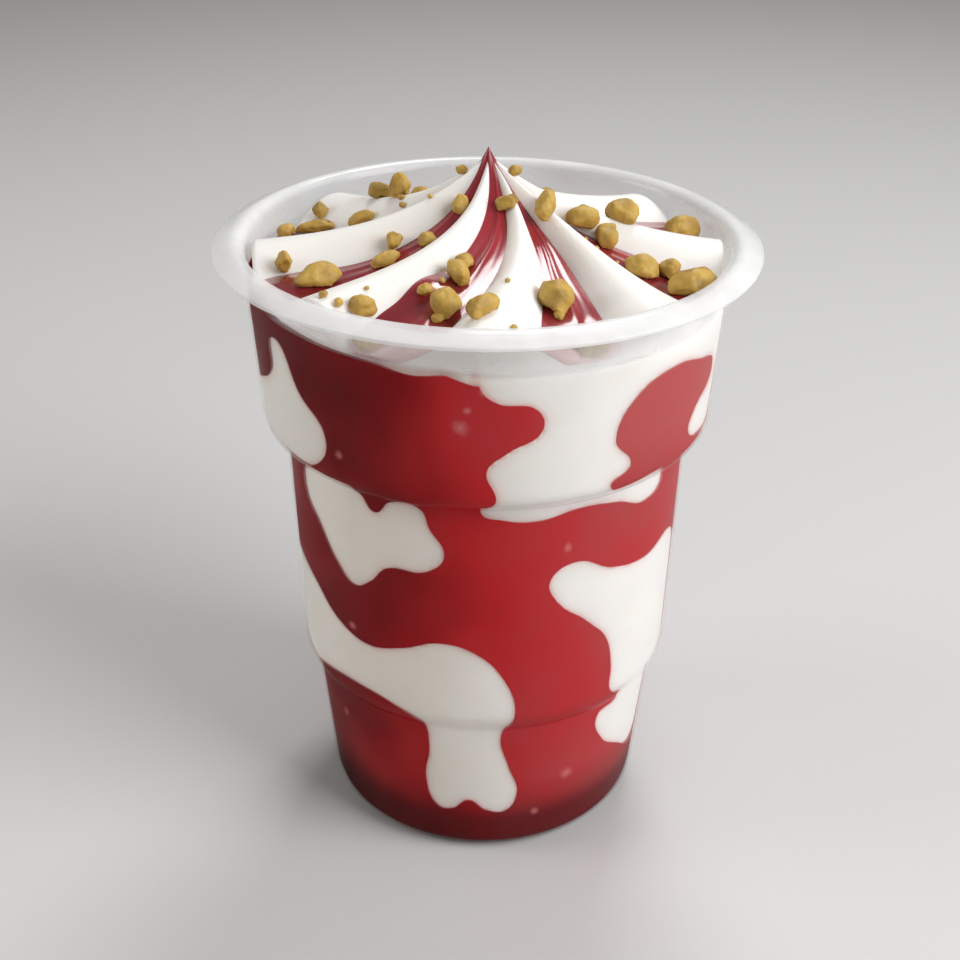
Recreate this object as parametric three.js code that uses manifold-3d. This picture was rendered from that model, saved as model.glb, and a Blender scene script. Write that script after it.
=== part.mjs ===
// A strawberry sundae: swirled ice cream with strawberry sauce and chopped nuts in a clear stepped cup.
// Millimetres, +Z up. The cup stands on z = 0 round the Z axis, and the side with the shown swirl faces -Y.
// Angles are in degrees round that axis, zero at the front and growing towards +X.

import * as THREE from 'three';
import { ConvexGeometry } from 'three/addons/geometries/ConvexGeometry.js';
import { mergeVertices } from 'three/addons/utils/BufferGeometryUtils.js';
import Module from 'manifold-3d';

const wasm = await Module();
wasm.setup();

// Clearance between neighbouring pieces.
const GAP = 0.3;

// Cup: wall thickness, sides of its round section, and the corners of its outer wall from foot to neck.
// A corner has a radius, a height and the length that its rounding takes off each side.
const WALL = 0.9;
const CUP_SIDES = 32;
const CURVE_STEPS = 2;
const WALL_CORNERS = [
  { radius: 29.9, height: 0, round: 5 },
  { radius: 33.0, height: 31.0, round: 0 },
  { radius: 35.1, height: 34.1, round: 1.8 },
  { radius: 36.5, height: 78.7, round: 0 },
  { radius: 40.3, height: 80.5, round: 2.9 },
  { radius: 42.1, height: 106.0, round: 0 },
];

// Lip: it rolls over a crest and slopes down to a thin outer edge.
const LIP_RADIUS = 47.3;
const LIP_TOP = 114;
const LIP_DROP = 1.9;
const LIP_CREST_RADIUS = 43;
const LIP_BEND = 1.2;

// Swirl: eight piped ridges that fall in a hollow curve from the peak to the wall, a bit lower behind.
// Its side meets the wall up to a shoulder. The rings of its surface crowd towards the peak, and the columns
// follow the ridges, with as many to each groove.
const GROOVE_COLUMNS = 7;
const CREAM_RINGS = 8;
const RING_CROWDING = 1.25;
const CREAM_EDGE = 40.5;
const CREAM_SHOULDER = 104;
const CREAM_PEAK = 127.0;
const CREAM_LEVEL = 110.4;
const CREAM_FALL = 19.0;
const BACK_DROP = 2.0;

// A ridge has its angle at the wall, the turn that it makes on the way to the peak, and a sink: how far the
// sauce in the groove that follows it lies under the crests.
const RIDGES = [
  { angle: 0, turn: 48, sink: 3.9 },
  { angle: 43, turn: 32, sink: 3.7 },
  { angle: 90, turn: 12, sink: 3.4 },
  { angle: 135, turn: 24, sink: 3.3 },
  { angle: 180, turn: 24, sink: 3.3 },
  { angle: 227, turn: 16, sink: 4.5 },
  { angle: 273.5, turn: 15, sink: 4.5 },
  { angle: 318, turn: 40, sink: 3.0 },
];
const TURN_POWER = 1.7;
const GROOVE_DEPTH = 6.3;
const GROOVE_REACH = 6.2;
const GROOVE_FLOOR = 105.8;
// Dips by the wall, where a nut has sunk in.
const SWIRL_DIPS = [
  { angle: -28, distance: 40.5, height: 3.4, reach: 4.5 },
  { angle: 24.5, distance: 40.5, height: 2.6, reach: 4.5 },
];

// Sauce on top: it lies in the grooves, caps the peak, and has piled up in two places.
const SAUCE_CAP = 1.3;
const SAUCE_CAP_REACH = 2.1;
const SAUCE_PILES = [
  { angle: -22.5, distance: 25.5, height: 1.3, reach: 4 },
  { angle: -63, distance: 36.5, height: 1.6, reach: 8 },
];

// Sauce inside the wall: its depth, the height it climbs to and the level of the pool at the foot.
const SIDE_SAUCE_DEPTH = 4;
const SIDE_SAUCE_TOP = 105.2;
const POOL_TOP = 8.5;

// Windows in the side sauce where the ice cream meets the wall, as outlines of angle and height.
// Each also shows on the far side, mirrored.
const WINDOWS = [
  // a wedge at the upper left
  [
    [-57.5, 102.8], [-61, 96], [-73, 91.2], [-85, 88], [-80, 81.5], [-60, 80.8], [-43.5, 83.5],
    [-40.5, 89.5], [-48, 95],
  ],
  // the upper right, open at the top, round a leaf of sauce
  [
    [-1.5, 108], [-1.5, 103], [2, 100.3], [11, 98.8], [12.5, 95], [5, 91.3], [0.3, 88], [2.4, 82],
    [-1.2, 78], [5, 76.4], [13, 75.8], [26, 77], [38, 76], [50, 73.6], [57.5, 76], [50, 81.2],
    [31, 82.2], [36, 85.3], [31, 91], [36.5, 98.5], [46, 100.8], [57, 99.7], [70, 94.6], [60, 89.5],
    [58, 86], [66, 83.5], [80, 84.5], [84, 96], [83, 108],
  ],
  // the middle left, with a drip hanging into its top
  [
    [-59.5, 77.5], [-61, 72], [-54, 67.2], [-46, 61], [-40, 58.5], [-34, 60.5], [-28, 64.4],
    [-16, 65.5], [-11, 69], [-15, 74.3], [-17.5, 77.7], [-26, 77.8], [-31, 75], [-36, 77.8],
  ],
  // the lower left band and the leg under it
  [
    [-95, 45], [-92, 34], [-74, 32.3], [-58, 35.5], [-42, 36.6], [-28, 35.2], [-20, 32], [-18, 26],
    [-19.8, 17], [-16, 10.9], [-11, 10.7], [-5, 13.2], [1, 10.8], [8, 10.5], [11.8, 14.5], [8.5, 21.8],
    [5.6, 29], [9.3, 36], [6, 43.5], [-2, 49.2], [-12, 51], [-24, 48.4], [-36, 46.6], [-48, 48.7],
    [-62, 53.8], [-78, 55], [-93, 51],
  ],
  // the right side down to the foot
  [
    [18.2, 63.5], [20, 59.5], [31, 53], [38, 48], [41, 41], [41.5, 35.5], [49.5, 31], [40.7, 28.5],
    [44, 22.3], [54, 17.5], [68, 13.6], [79, 17], [82.5, 35], [80, 56], [70, 62], [52, 61.3],
    [38, 63], [25, 66.4],
  ],
];
// Radius at which a window's angles are read as lengths, and the radii that its cutter runs between.
const WINDOW_RADIUS = 36;
const CUTTER_FROM = 20;
const CUTTER_TO = 75;

// Chopped nuts: angle, distance from the axis, length, width, height, and the turn of the long side from +X.
const NUTS = [
  [-129, 20.4, 4.0, 3.6, 5.4, 60], [-131, 26, 4.2, 2.8, 3.4, 10], [-118.5, 25.4, 6.0, 2.6, 2.2, -10],
  [-123.2, 36.4, 3.1, 2.9, 2.9, 80], [-116.2, 35, 8.0, 3.0, 2.6, 4], [-111, 38.9, 3.3, 2.8, 2.8, 20],
  [-41, 6.4, 3.1, 2.8, 2.8, 60], [-47, 13.4, 2.9, 2.5, 2.4, 30], [-65.5, 17.3, 2.8, 2.6, 3.3, 80],
  [-55.6, 20.3, 5.0, 3.0, 2.7, 20], [-75.6, 35.4, 2.9, 2.8, 4.4, 100], [-59.2, 32.1, 8.4, 4.6, 4.4, 28],
  [-33.8, 35.4, 4.6, 3.2, 3.0, 10], [-11.5, 18.4, 3.2, 2.8, 2.8, 50], [-12.3, 22, 5.8, 3.4, 3.4, 110],
  [-11.8, 30.6, 6.4, 5.4, 5.4, 80], [-0.6, 35.2, 6.0, 3.0, 3.6, 40], [26, 7.4, 4.0, 2.4, 2.2, 10],
  [60, 11.1, 6.4, 3.2, 3.0, 75], [88.5, 16.2, 6.0, 4.6, 4.4, 10], [95.5, 22.6, 6.4, 5.2, 5.0, 150],
  [82, 20.2, 5.4, 3.2, 4.8, 100], [108, 36.8, 7.6, 4.0, 5.0, 15], [65, 28.1, 6.5, 4.2, 4.4, 150],
  [71, 31.9, 3.8, 3.4, 3.8, 60], [65, 37, 11.2, 5.8, 5.2, 38], [23, 28, 6.8, 5.8, 5.2, 110],
  [-28, 39.2, 5.0, 2.8, 4.0, 152], [24.5, 39.2, 6.6, 2.8, 3.1, 24], [-168, 12, 3.8, 3.0, 2.8, 30],
  [-160, 22, 5.0, 3.8, 3.4, 120], [164, 17, 4.4, 3.2, 3.0, 70], [150, 22, 4.6, 3.4, 3.2, 40],
  [-158, 33, 5.6, 3.8, 3.4, 15],
];
// Each is the hull of a few corners, evenly wound over a ball and then strewn. It lies along the slope, read
// over a short span to each side, with its middle above the topping by a share of its height.
const NUT_CORNERS = 12;
const NUT_STREWING = 0.75;
const NUT_LIFT = 0.3;
const NUT_TILT = 0.5;
const NUT_SPAN = 1.5;
const NUT_SEED = 7;

const CLEAR_PLASTIC = { color: 0xe6e8ea, roughness: 0.25, metalness: 0 };
const ICE_CREAM = { color: 0xf4f0e8, roughness: 0.5, metalness: 0 };
const STRAWBERRY_SAUCE = { color: 0x9c2429, roughness: 0.15, metalness: 0 };
const ROASTED_NUT = { color: 0xc29a45, roughness: 0.7, metalness: 0 };

// Turns a three.js geometry into a solid that can be joined and cut.
function solidOf(geometry) {
  geometry.deleteAttribute('normal');
  geometry.deleteAttribute('uv');
  const merged = mergeVertices(geometry, 1e-4);
  const corners = merged.index.array;
  const triangles = [];
  for (let i = 0; i < corners.length; i += 3) {
    const [a, b, c] = corners.slice(i, i + 3);
    if (a !== b && b !== c && c !== a) triangles.push(a, b, c);
  }
  const vertProperties = new Float32Array(merged.attributes.position.array);
  const triVerts = new Uint32Array(triangles);
  return new wasm.Manifold(new wasm.Mesh({ numProp: 3, vertProperties, triVerts }));
}

// Turns a solid back into a named mesh with its own material.
function meshOf(name, solid, finish) {
  const { vertProperties, triVerts } = solid.getMesh();
  const geometry = new THREE.BufferGeometry();
  geometry.setAttribute('position', new THREE.BufferAttribute(vertProperties, 3));
  geometry.setIndex(new THREE.BufferAttribute(triVerts, 1));
  geometry.computeVertexNormals();
  const mesh = new THREE.Mesh(geometry, new THREE.MeshStandardMaterial(finish));
  mesh.name = name;
  return mesh;
}

// Spins an outline round the Z axis. It runs from the bottom of the axis, round the outside, to its top.
function spun(outline, sides) {
  const geometry = new THREE.LatheGeometry(outline, sides);
  geometry.rotateX(Math.PI / 2);
  return geometry;
}

// An outline moved to its left by a distance: up from the floor of the cup and in from its wall.
function inset(outline, distance, closed = false) {
  const count = outline.length;
  const sideways = (from, to) => new THREE.Vector2(from.y - to.y, to.x - from.x).normalize();
  return outline.map((point, i) => {
    const hasBefore = closed || i > 0;
    const hasAfter = closed || i < count - 1;
    const before = hasBefore && sideways(outline[(i + count - 1) % count], point);
    const after = hasAfter && sideways(point, outline[(i + 1) % count]);
    const first = before || after;
    const second = after || before;
    const mitre = first.clone().add(second).divideScalar(1 + first.dot(second));
    return point.clone().addScaledVector(mitre, distance);
  });
}

// Outer outline of the cup from the middle of its foot to its neck.
function wallOutline() {
  const path = new THREE.Path();
  path.moveTo(0, 0);
  WALL_CORNERS.forEach(({ radius, height, round }, i) => {
    const corner = new THREE.Vector2(radius, height);
    const next = WALL_CORNERS[i + 1];
    if (!round || !next) {
      path.lineTo(radius, height);
      return;
    }
    const start = corner.clone().add(path.currentPoint.clone().sub(corner).setLength(round));
    const onwards = new THREE.Vector2(next.radius, next.height).sub(corner);
    const end = corner.clone().add(onwards.setLength(round));
    path.lineTo(start.x, start.y);
    path.quadraticCurveTo(radius, height, end.x, end.y);
  });
  return path.getPoints(CURVE_STEPS);
}

// Outline of the lip from the outside of the neck, under the edge and over the crest, to the neck's inside.
function lipOutline(outerNeck, innerNeck) {
  const slope = LIP_DROP / (LIP_RADIUS - LIP_CREST_RADIUS);
  const topAt = (radius) => LIP_TOP - slope * (radius - LIP_CREST_RADIUS);
  const path = new THREE.Path();
  path.moveTo(outerNeck.x, outerNeck.y);
  path.lineTo(outerNeck.x + LIP_BEND / 2, LIP_TOP - WALL - 2 * LIP_BEND);
  const underBend = LIP_CREST_RADIUS + LIP_BEND;
  const underEdge = LIP_RADIUS - WALL / 3;
  path.quadraticCurveTo(outerNeck.x + LIP_BEND / 2, LIP_TOP - WALL, underBend, topAt(underBend) - WALL);
  path.lineTo(underEdge, topAt(underEdge) - WALL);
  path.lineTo(LIP_RADIUS, topAt(LIP_RADIUS) - WALL / 3);
  path.lineTo(LIP_RADIUS - WALL / 4, topAt(LIP_RADIUS));
  path.lineTo(underBend, topAt(underBend));
  const crest = new THREE.Vector2(LIP_CREST_RADIUS - LIP_BEND / 3, LIP_TOP + LIP_BEND / 2);
  path.quadraticCurveTo(crest.x, crest.y, LIP_CREST_RADIUS - LIP_BEND, LIP_TOP - LIP_BEND);
  path.lineTo(innerNeck.x, innerNeck.y);
  return path.getPoints(CURVE_STEPS);
}

function cupSolid() {
  const outer = wallOutline();
  const inner = inset(outer, WALL);
  const lip = lipOutline(outer.at(-1), inner.at(-1));
  return solidOf(spun([...outer.slice(0, -1), ...lip, ...inner.slice(0, -1).reverse()], CUP_SIDES));
}

// The ridges' angles at a radius, with the first one again a full turn later.
function ridgeLines(radius) {
  const inwards = Math.max(0, 1 - radius / CREAM_EDGE) ** TURN_POWER;
  const lines = RIDGES.map(({ angle, turn }) => angle + turn * inwards);
  return [...lines, lines[0] + 360];
}

// The groove at a place: the ridge that it follows, and how far across it the place lies, from 0 to 1.
function grooveAt(radius, angle) {
  const lines = ridgeLines(radius);
  const turned = THREE.MathUtils.euclideanModulo(angle - lines[0], 360) + lines[0];
  const next = lines.findIndex((line) => line > turned);
  const across = (turned - lines[next - 1]) / (lines[next] - lines[next - 1]);
  return { ridge: RIDGES[next - 1], across };
}

// Angle of a column of the swirl's mesh at a radius.
function columnAngle(column, radius) {
  const lines = ridgeLines(radius);
  const groove = Math.floor(column / GROOVE_COLUMNS);
  const across = (column % GROOVE_COLUMNS) / GROOVE_COLUMNS;
  return THREE.MathUtils.lerp(lines[groove], lines[groove + 1], across);
}

// The place in plan at a distance from the axis and an angle round it.
function planPlace(distance, angle) {
  const way = THREE.MathUtils.degToRad(angle);
  return new THREE.Vector2(distance * Math.sin(way), -distance * Math.cos(way));
}

// Height that a list of heaps adds at a place. A heap falls off as a bell over its reach.
function heapedHeight(heaps, radius, angle) {
  const place = planPlace(radius, angle);
  return heaps.reduce((sum, heap) => {
    const away = place.distanceTo(planPlace(heap.distance, heap.angle)) / heap.reach;
    return sum + heap.height * Math.exp(-(away ** 2));
  }, 0);
}

function crestHeight(radius, angle) {
  const behind = (1 - Math.cos(THREE.MathUtils.degToRad(angle))) / 2;
  const rise = (CREAM_PEAK - CREAM_LEVEL) * Math.exp(-radius / CREAM_FALL);
  const drop = (BACK_DROP * behind ** 2 * radius) / CREAM_EDGE;
  return CREAM_LEVEL + rise - drop - heapedHeight(SWIRL_DIPS, radius, angle);
}

// Grooves and sinks start from nothing at the peak.
function grown(radius) {
  return 1 - Math.exp(-radius / GROOVE_REACH);
}

function creamHeight(radius, angle) {
  const { across } = grooveAt(radius, angle);
  const depth = GROOVE_DEPTH * grown(radius) * Math.sin(Math.PI * across) ** 2;
  return Math.max(GROOVE_FLOOR, crestHeight(radius, angle) - depth);
}

function sauceHeight(radius, angle) {
  const { ridge } = grooveAt(radius, angle);
  const cap = SAUCE_CAP * Math.exp(-radius / SAUCE_CAP_REACH);
  const piled = heapedHeight(SAUCE_PILES, radius, angle);
  return crestHeight(radius, angle) + cap + piled - ridge.sink * grown(radius);
}

// Radii of the swirl's rings, from its edge to the peak.
const SWIRL_RINGS = Array.from({ length: CREAM_RINGS + 1 }, (_, ring) => {
  return CREAM_EDGE * (1 - ring / CREAM_RINGS) ** RING_CROWDING;
});

// A body with a swirled top: its side outline ends at the first ring, and heightAt shapes all the rings.
function swirledSolid(side, rings, heightAt, lift = 0) {
  const mark = 2 * LIP_TOP;
  const columns = RIDGES.length * GROOVE_COLUMNS;
  const outline = [...side, ...rings.map((radius) => new THREE.Vector2(radius, mark))];
  const geometry = spun(outline, columns);
  const position = geometry.attributes.position;
  for (let i = 0; i < position.count; i += 1) {
    if (position.getZ(i) > mark - 1) {
      const radius = Math.hypot(position.getX(i), position.getY(i));
      const angle = columnAngle(Math.floor(i / outline.length) % columns, radius);
      const { x, y } = planPlace(radius, angle);
      position.setXYZ(i, x, y, heightAt(radius, angle) + lift);
    }
  }
  return solidOf(geometry);
}

// Points of a wall outline up to a height, ending on that height.
function upTo(outline, height) {
  const below = outline.filter((point) => point.y < height);
  const next = outline[below.length] ?? outline.at(-1);
  const last = below.at(-1);
  const share = next === last ? 0 : (height - last.y) / (next.y - last.y);
  return [...below, new THREE.Vector2(last.x + share * (next.x - last.x), height)];
}

// The layer of sauce inside the wall with its pool at the foot, before the windows are cut.
// Its inner side keeps to the wall's plain corners.
function sauceShell(outside, inside, top, pool) {
  const corners = WALL_CORNERS.map(({ radius, height }) => new THREE.Vector2(radius, height));
  const outer = upTo(inset(wallOutline(), outside), top);
  const inner = upTo(inset(corners, inside), top).filter((point) => point.y > pool);
  const poolEdge = new THREE.Vector2(inner[0].x, pool);
  return solidOf(spun([...outer, ...inner.reverse(), poolEdge, new THREE.Vector2(0, pool)], CUP_SIDES));
}

// A cutter for one window: its outline swept outwards from the axis, made smaller by a margin.
function windowCutter(window, mirrored, margin) {
  const turned = mirrored ? window.map(([angle, height]) => [180 - angle, height]).reverse() : window;
  const perDegree = THREE.MathUtils.degToRad(WINDOW_RADIUS);
  const flat = turned.map(([angle, height]) => new THREE.Vector2(angle * perDegree, height));
  const shape = new THREE.Shape(inset(flat, margin, true));
  const geometry = new THREE.ExtrudeGeometry(shape, { depth: 1, bevelEnabled: false });
  const position = geometry.attributes.position;
  for (let i = 0; i < position.count; i += 1) {
    const angle = position.getX(i) / WINDOW_RADIUS;
    const radius = position.getZ(i) > 0.5 ? CUTTER_TO : CUTTER_FROM;
    position.setXYZ(i, radius * Math.sin(angle), -radius * Math.cos(angle), position.getY(i));
  }
  return solidOf(geometry);
}

function cutWindows(shell, margin) {
  const cutters = [false, true].flatMap((mirrored) => {
    return WINDOWS.map((window) => windowCutter(window, mirrored, margin));
  });
  return cutters.reduce((left, cutter) => left.subtract(cutter), shell);
}

function sideSauceSolid() {
  const outside = WALL + GAP;
  return cutWindows(sauceShell(outside, outside + SIDE_SAUCE_DEPTH, SIDE_SAUCE_TOP, POOL_TOP), 0);
}

// The ice cream fills the cup up to the swirl, less the room for the sauce inside the wall.
function creamSolid() {
  const room = cutWindows(
    sauceShell(WALL / 2, WALL + 2 * GAP + SIDE_SAUCE_DEPTH, SIDE_SAUCE_TOP + GAP, POOL_TOP + GAP),
    GAP,
  );
  const side = upTo(inset(wallOutline(), WALL + GAP), CREAM_SHOULDER);
  return swirledSolid(side, SWIRL_RINGS, creamHeight).subtract(room);
}

// Everything up to a lifted top surface and past its edge, to fit one topping onto the one below.
function under(heightAt, lift) {
  const reach = CREAM_EDGE + 1;
  const floor = [new THREE.Vector2(0, POOL_TOP), new THREE.Vector2(reach, POOL_TOP)];
  return swirledSolid(floor, [reach, ...SWIRL_RINGS], heightAt, lift);
}

function topSauceSolid() {
  const floor = [new THREE.Vector2(0, 2 * POOL_TOP), new THREE.Vector2(CREAM_EDGE, 2 * POOL_TOP)];
  return swirledSolid(floor, SWIRL_RINGS, sauceHeight).subtract(under(creamHeight, GAP));
}

// Repeatable random numbers from 0 to 1: each is the last one multiplied, less whole turns of a prime.
function randomFrom(seed) {
  const factor = 16807;
  const prime = 2147483647;
  let state = seed;
  return () => {
    state = (state * factor) % prime;
    return state / prime;
  };
}

// An uneven chunk with flat breaks, as long, wide and high as given.
function chunk(length, width, height, random) {
  const goldenTurn = Math.PI * (3 - Math.sqrt(5));
  const strewn = () => NUT_STREWING * (random() - 0.5);
  const corners = Array.from({ length: NUT_CORNERS }, (_, i) => {
    const down = Math.acos(1 - (2 * i + 1) / NUT_CORNERS) + strewn();
    return new THREE.Vector3().setFromSphericalCoords(1, down, i * goldenTurn + strewn());
  });
  const hull = new ConvexGeometry(corners);
  hull.computeBoundingBox();
  hull.center();
  const span = hull.boundingBox.getSize(new THREE.Vector3());
  return hull.scale(length / span.x, width / span.y, height / span.z);
}

// Height of the topping, sauce or ice cream, at a place in plan.
function toppingHeight(x, y) {
  const radius = Math.hypot(x, y);
  const angle = THREE.MathUtils.radToDeg(Math.atan2(x, -y));
  return Math.max(creamHeight(radius, angle), sauceHeight(radius, angle));
}

// The direction that stands square on the topping at a place in plan.
function squareOn({ x, y }) {
  const fallX = toppingHeight(x - NUT_SPAN, y) - toppingHeight(x + NUT_SPAN, y);
  const fallY = toppingHeight(x, y - NUT_SPAN) - toppingHeight(x, y + NUT_SPAN);
  return new THREE.Vector3(fallX, fallY, 2 * NUT_SPAN).normalize();
}

// One nut, lying on the topping and cut to its surface.
function nutSolid([angle, distance, length, width, height, turn], random, below) {
  const nut = chunk(length, width, height, random);
  const place = planPlace(distance, angle);
  const upright = squareOn(place);
  const middle = upright.clone().multiplyScalar(NUT_LIFT * height);
  nut.rotateX(NUT_TILT * (random() - 0.5));
  nut.rotateZ(THREE.MathUtils.degToRad(turn));
  nut.applyQuaternion(new THREE.Quaternion().setFromUnitVectors(new THREE.Vector3(0, 0, 1), upright));
  nut.translate(place.x + middle.x, place.y + middle.y, toppingHeight(place.x, place.y) + middle.z);
  return below.reduce((left, solid) => left.subtract(solid), solidOf(nut));
}

const sundae = new THREE.Group();
sundae.add(meshOf('cup', cupSolid(), CLEAR_PLASTIC));
sundae.add(meshOf('ice_cream', creamSolid(), ICE_CREAM));
sundae.add(meshOf('sauce_side', sideSauceSolid(), STRAWBERRY_SAUCE));
sundae.add(meshOf('sauce_top', topSauceSolid(), STRAWBERRY_SAUCE));

const random = randomFrom(NUT_SEED);
const below = [under(creamHeight, GAP), under(sauceHeight, GAP)];
NUTS.forEach((nut, i) => {
  const name = `nut_${String(i + 1).padStart(2, '0')}`;
  sundae.add(meshOf(name, nutSolid(nut, random, below), ROASTED_NUT));
});

export default sundae;
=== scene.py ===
# %% [markdown]
# # A strawberry sundae in a clear cup
# Soft ice cream is piped into a stepped plastic cup over strawberry sauce, swirled to a peak, and strewn
# with chopped nuts. This lesson dresses its solid model: the solids give every place and size, and each
# cell below models one piece over them and gives it a finish. All is in metres, with the cup standing on
# z = 0 round the Z axis. Angles round the cup are zero at the front, on -Y, and grow towards +X.

# %% Load the frame
import functools
import math
import random

import bpy
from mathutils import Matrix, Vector
from mathutils.kdtree import KDTree


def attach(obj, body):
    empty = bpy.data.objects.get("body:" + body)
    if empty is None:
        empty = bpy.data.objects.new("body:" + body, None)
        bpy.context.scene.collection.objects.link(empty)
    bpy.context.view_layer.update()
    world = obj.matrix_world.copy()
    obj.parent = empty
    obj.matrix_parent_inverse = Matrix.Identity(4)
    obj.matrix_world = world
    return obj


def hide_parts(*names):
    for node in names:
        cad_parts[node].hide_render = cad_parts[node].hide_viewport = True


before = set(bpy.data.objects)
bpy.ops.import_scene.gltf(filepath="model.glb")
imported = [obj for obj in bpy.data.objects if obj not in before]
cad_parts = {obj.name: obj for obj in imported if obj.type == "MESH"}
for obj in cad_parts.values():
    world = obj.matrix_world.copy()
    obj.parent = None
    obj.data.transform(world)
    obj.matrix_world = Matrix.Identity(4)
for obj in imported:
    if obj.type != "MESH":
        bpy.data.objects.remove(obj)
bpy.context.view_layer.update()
MM = 0.001

# %% [markdown]
# ## Working habits
# An operator acts on everything that is selected, and the loaded solids arrive selected. So every piece
# starts from object mode with nothing selected. A piece that is made in parts is joined into one mesh. A
# finished piece rides on the body of the sundae, hides the solids that it stands for, and takes one
# finish.

# %% Start, join and finish a piece
MERGE_WITHIN = 0.01


def start_fresh():
    if bpy.context.object and bpy.context.object.mode != "OBJECT":
        bpy.ops.object.mode_set(mode="OBJECT")
    bpy.ops.object.select_all(action="DESELECT")


def merge_and_face_outwards(piece):
    start_fresh()
    piece.select_set(True)
    bpy.context.view_layer.objects.active = piece
    bpy.ops.object.mode_set(mode="EDIT")
    bpy.ops.mesh.select_all(action="SELECT")
    bpy.ops.mesh.remove_doubles(threshold=MERGE_WITHIN * MM)
    bpy.ops.mesh.normals_make_consistent(inside=False)
    bpy.ops.object.mode_set(mode="OBJECT")


def joined(parts, name):
    start_fresh()
    for part in parts:
        part.select_set(True)
    bpy.context.view_layer.objects.active = parts[0]
    bpy.ops.object.join()
    piece = bpy.context.object
    piece.name = name
    piece.data.name = name
    return piece


def finish_piece(piece, finish, nodes, sharp_from=180):
    """Shades a piece smooth, apart from edges sharper than an angle, and hands it to the frame."""
    start_fresh()
    piece.select_set(True)
    bpy.context.view_layer.objects.active = piece
    bpy.ops.object.shade_smooth_by_angle(angle=math.radians(sharp_from))
    piece.data.materials.clear()
    piece.data.materials.append(finish)
    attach(piece, "root")
    if nodes:
        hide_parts(*nodes)
    triangles = sum(len(face.vertices) - 2 for face in piece.data.polygons)
    print(f"{piece.name}: {triangles} triangles")


# %% [markdown]
# ## The wall's outline
# The cup narrows downwards in two steps, so that cups stack. Its outline is a handful of corners, some of
# them rounded. Everything that fills the cup follows the same outline, moved inwards by some distance. A
# rounded corner is a quadratic curve that starts and ends a little way along its two sides.

# %% Outline of the wall
WALL = 0.9
CURVE_STEPS = 8
WALL_CORNERS = (
    (29.9, 0.0, 5.0),
    (33.0, 31.0, 0.5),
    (35.1, 34.1, 1.8),
    (36.5, 78.7, 0.6),
    (40.3, 80.5, 2.9),
    (42.1, 106.0, 0.0),
)


def rounded_corner(before, corner, after, length):
    start = corner + (before - corner).normalized() * length
    end = corner + (after - corner).normalized() * length
    steps = [i / CURVE_STEPS for i in range(CURVE_STEPS + 1)]
    return [start * (1 - t) ** 2 + corner * 2 * t * (1 - t) + end * t * t for t in steps]


def rounded(corners):
    """A list of (radius, height, rounding) as an outline of points with its corners rounded."""
    points = [Vector(corner[:2]) for corner in corners]
    outline = [points[0]]
    for i in range(1, len(points) - 1):
        length = corners[i][2]
        turn = rounded_corner(points[i - 1], points[i], points[i + 1], length) if length else [points[i]]
        outline.extend(turn)
    return outline + [points[-1]]


def inset(outline, distance):
    """The outline moved to its left: up from the cup's floor and in from its wall."""
    moved = []
    for i, point in enumerate(outline):
        ways = [b - a for a, b in zip(outline[max(i - 1, 0):i + 2], outline[max(i - 1, 0) + 1:i + 2])]
        sides = [Vector((-way.y, way.x)).normalized() for way in ways]
        mitre = (sides[0] + sides[-1]) / (1 + sides[0].dot(sides[-1]))
        moved.append(point + mitre * distance)
    return moved


wall_outline = rounded(((0.0, 0.0, 0.0),) + WALL_CORNERS)
print("wall outline:", len(wall_outline), "points")

# %% [markdown]
# ## Spinning an outline
# Everything round here is made as on a potter's wheel. A plane is merged to a single vertex, the vertex
# is extruded along the outline, and the edge that this draws is spun about the Z axis. The spin's first
# and last copies meet, and points on the axis coincide, so doubles are merged before the faces are turned
# outwards.

# %% Spin


def draw_outline(name, outline):
    start_fresh()
    bpy.ops.mesh.primitive_plane_add(size=MM)
    piece = bpy.context.object
    piece.name = name
    piece.data.name = name
    bpy.ops.object.mode_set(mode="EDIT")
    bpy.ops.mesh.merge(type="CENTER")
    places = [Vector((point[0], 0, point[1])) * MM for point in outline]
    bpy.ops.transform.translate(value=places[0])
    for before, after in zip(places, places[1:]):
        bpy.ops.mesh.extrude_region_move(TRANSFORM_OT_translate={"value": after - before})
    return piece


def spun(name, outline, sides):
    piece = draw_outline(name, outline)
    bpy.ops.mesh.select_all(action="SELECT")
    bpy.ops.mesh.spin(steps=sides, angle=2 * math.pi, center=(0, 0, 0), axis=(0, 0, 1))
    merge_and_face_outwards(piece)
    return piece


# %% [markdown]
# ## The cup
# The real cup is blown from thin clear sheet, rolled over at the lip. Here the outside of the wall and
# the underside of the lip are spun as one skin, and Solidify gives the skin its wall on the inner side.
# An open skin has no sure outside, so the face under the foot is looked at first, and the skin is flipped
# if that face looks up. A small bevel takes the hardness off the lip's edge so that it catches the light.

# %% Model the cup
CUP_SIDES = 160
LIP_RADIUS = 47.3
LIP_TOP = 114.0
LIP_DROP = 1.9
LIP_BEVEL = 0.22

lip_corners = (
    (42.1, 106.0, 0.8),
    (42.7, LIP_TOP - WALL, 1.9),
    (LIP_RADIUS - WALL / 3, LIP_TOP - WALL - LIP_DROP, 0.0),
)
cup_skin = rounded(((0.0, 0.0, 0.0),) + WALL_CORNERS[:-1] + lip_corners)
cup = spun("sundae_cup", cup_skin, CUP_SIDES)
if cup.data.polygons[0].normal.z > 0:
    bpy.ops.object.mode_set(mode="EDIT")
    bpy.ops.mesh.select_all(action="SELECT")
    bpy.ops.mesh.flip_normals()
    bpy.ops.object.mode_set(mode="OBJECT")
wall = cup.modifiers.new("wall", "SOLIDIFY")
wall.thickness = WALL * MM
wall.offset = -1
wall.use_even_offset = True
bpy.ops.object.modifier_apply(modifier=wall.name)
edge = cup.modifiers.new("lip edge", "BEVEL")
edge.width = LIP_BEVEL * MM
edge.segments = 3
edge.limit_method = "ANGLE"
edge.angle_limit = math.radians(60)
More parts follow.
